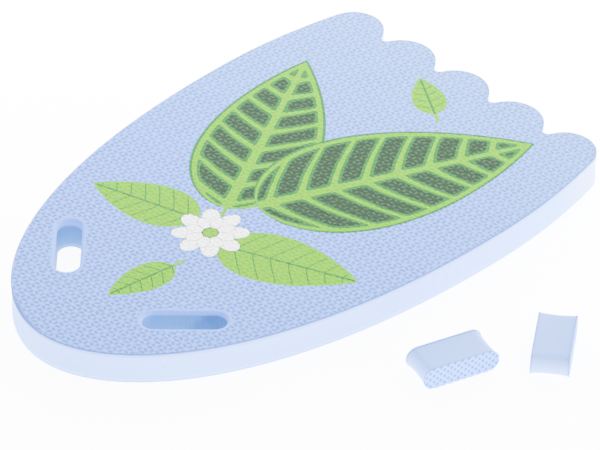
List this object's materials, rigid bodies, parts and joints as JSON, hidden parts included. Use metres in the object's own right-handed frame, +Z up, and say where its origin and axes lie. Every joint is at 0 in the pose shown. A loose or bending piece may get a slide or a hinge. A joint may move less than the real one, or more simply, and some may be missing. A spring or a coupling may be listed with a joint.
{
  "type": "kickboard float",
  "caption": "Flat foam kickboard with a pointed-oval nose, a scalloped tail and slanted through hand slots, with the foam plugs from the slots lying loose beside it.",
  "frame": {"origin": "middle of the board's underside", "axes": "+Z up out of the printed face, +Y from the nose to the scalloped tail, +X to the right-hand side seen from above with the tail away"},
  "size_m": [0.455, 0.48, 0.0274],
  "materials": {
    "foam": "closed-cell foam, matt, pale blue",
    "printed_film": "embossed film, satin, lavender blue with a green leaf and flower print",
    "plain_film": "embossed film, satin, pale blue"
  },
  "bodies": {
    "board": {"board_core": "foam", "top_film": "printed_film", "bottom_film": "plain_film"},
    "right_plug": {"right_plug_core": "foam", "right_plug_top_film": "plain_film", "right_plug_bottom_film": "plain_film"},
    "left_plug": {"left_plug_core": "foam", "left_plug_top_film": "plain_film", "left_plug_bottom_film": "plain_film"}
  },
  "joints": [
    {"name": "right_plug_lift", "type": "slide", "parent": "board", "child": "right_plug", "axis": [0, 0, 1], "range_m": [0, 0.1]},
    {"name": "left_plug_lift", "type": "slide", "parent": "board", "child": "left_plug", "axis": [0, 0, 1], "range_m": [0, 0.1]}
  ]
}
